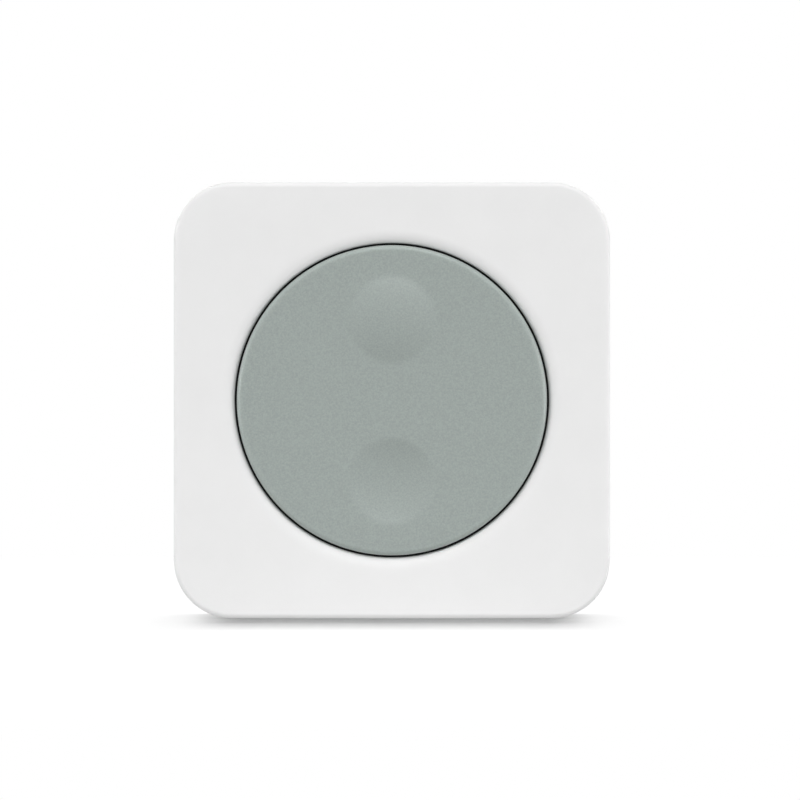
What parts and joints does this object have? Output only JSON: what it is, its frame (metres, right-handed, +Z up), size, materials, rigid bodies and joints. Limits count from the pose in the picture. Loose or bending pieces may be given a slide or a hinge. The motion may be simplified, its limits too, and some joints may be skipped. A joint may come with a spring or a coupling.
{
  "type": "smart button",
  "caption": "Square wall-mounted smart button: a round rocker cap with a bump and a dimple in a white frame, on a magnetic wall plate.",
  "frame": {"origin": "centre of the wall plate's back face, in the plane of the wall", "axes": "+Z up, +X to the right seen from the front, +Y into the wall; the button's front faces -Y"},
  "size_m": [0.065, 0.0163, 0.065],
  "materials": {
    "white_casing": "matte white moulded plastic with a fine spark-eroded grain",
    "cap_coating": "grey-green soft-touch coating, finely mottled",
    "black_plastic": "black moulded plastic, fine grain",
    "foam_pad": "pale grey adhesive foam",
    "plated_magnet": "nickel-plated magnet",
    "plated_steel": "zinc-plated steel",
    "screw_steel": "zinc-plated screw steel",
    "board_laminate": "green solder mask on glass laminate",
    "cell_steel": "stainless steel can",
    "contact_metal": "gold-flashed spring brass",
    "shield_tin": "tinned sheet metal",
    "chip_plastic": "black epoxy",
    "passive_ceramic": "tan and black ceramic",
    "led_lens": "clear cast lens",
    "key_plastic": "grey acetal"
  },
  "bodies": {
    "plate": {"wall_plate": "white_casing", "adhesive_pads": "foam_pad", "plate_magnets": "plated_magnet"},
    "casing": {"rear_housing": "white_casing", "keeper_discs": "plated_steel", "front_cover": "white_casing", "housing_screws": "screw_steel", "circuit_board": "board_laminate", "chassis": "black_plastic", "board_screws": "screw_steel", "pivot_pins": "screw_steel", "coin_cell": "cell_steel", "cell_holder": "black_plastic", "cell_contact_negative": "contact_metal", "cell_contact_positive": "contact_metal", "radio_shield": "shield_tin", "microcontroller": "chip_plastic", "crystal": "shield_tin", "passive_parts": "passive_ceramic", "antenna": "contact_metal", "status_led": "led_lens", "pairing_switch": "black_plastic", "upper_switch_base": "black_plastic", "upper_switch_cover": "shield_tin", "upper_switch_terminals": "contact_metal", "upper_dome": "shield_tin", "lower_switch_base": "black_plastic", "lower_switch_cover": "shield_tin", "lower_switch_terminals": "contact_metal", "lower_dome": "shield_tin"},
    "rocker": {"button_cap": "cap_coating", "rocker_frame": "black_plastic"},
    "upper_plunger": {"upper_plunger": "key_plastic"},
    "lower_plunger": {"lower_plunger": "key_plastic"},
    "door": {"battery_door": "white_casing"},
    "pairing_key": {"pairing_button": "key_plastic", "pairing_plunger": "key_plastic"}
  },
  "joints": [
    {"name": "device_release", "type": "slide", "parent": "plate", "child": "casing", "axis": [0, -1, 0], "range_m": [0, 0.012]},
    {"name": "rocker_tilt", "type": "hinge", "parent": "casing", "child": "rocker", "pos_m": [0, -0.0108, 0], "axis": [-1, 0, 0], "range_deg": [-1.5, 1.5], "stiffness_Nm_per_rad": 0.6},
    {"name": "upper_plunger_travel", "type": "slide", "parent": "casing", "child": "upper_plunger", "axis": [0, 1, 0], "range_m": [-0.00032, 0.00032], "deforming": ["upper_dome"]},
    {"name": "lower_plunger_travel", "type": "slide", "parent": "casing", "child": "lower_plunger", "axis": [0, 1, 0], "range_m": [-0.00032, 0.00032], "deforming": ["lower_dome"]},
    {"name": "battery_door_turn", "type": "hinge", "parent": "casing", "child": "door", "pos_m": [0, -0.0027, 0], "axis": [0, 1, 0], "range_deg": [0, 40]},
    {"name": "pairing_press", "type": "slide", "parent": "casing", "child": "pairing_key", "axis": [0, -1, 0], "range_m": [0, 0.00025], "stiffness_N_per_m": 2500}
  ],
  "couplings": [
    {"joint": "upper_plunger_travel", "follows": "rocker_tilt", "m_per_rad": 0.0121},
    {"joint": "lower_plunger_travel", "follows": "rocker_tilt", "m_per_rad": -0.0121}
  ]
}
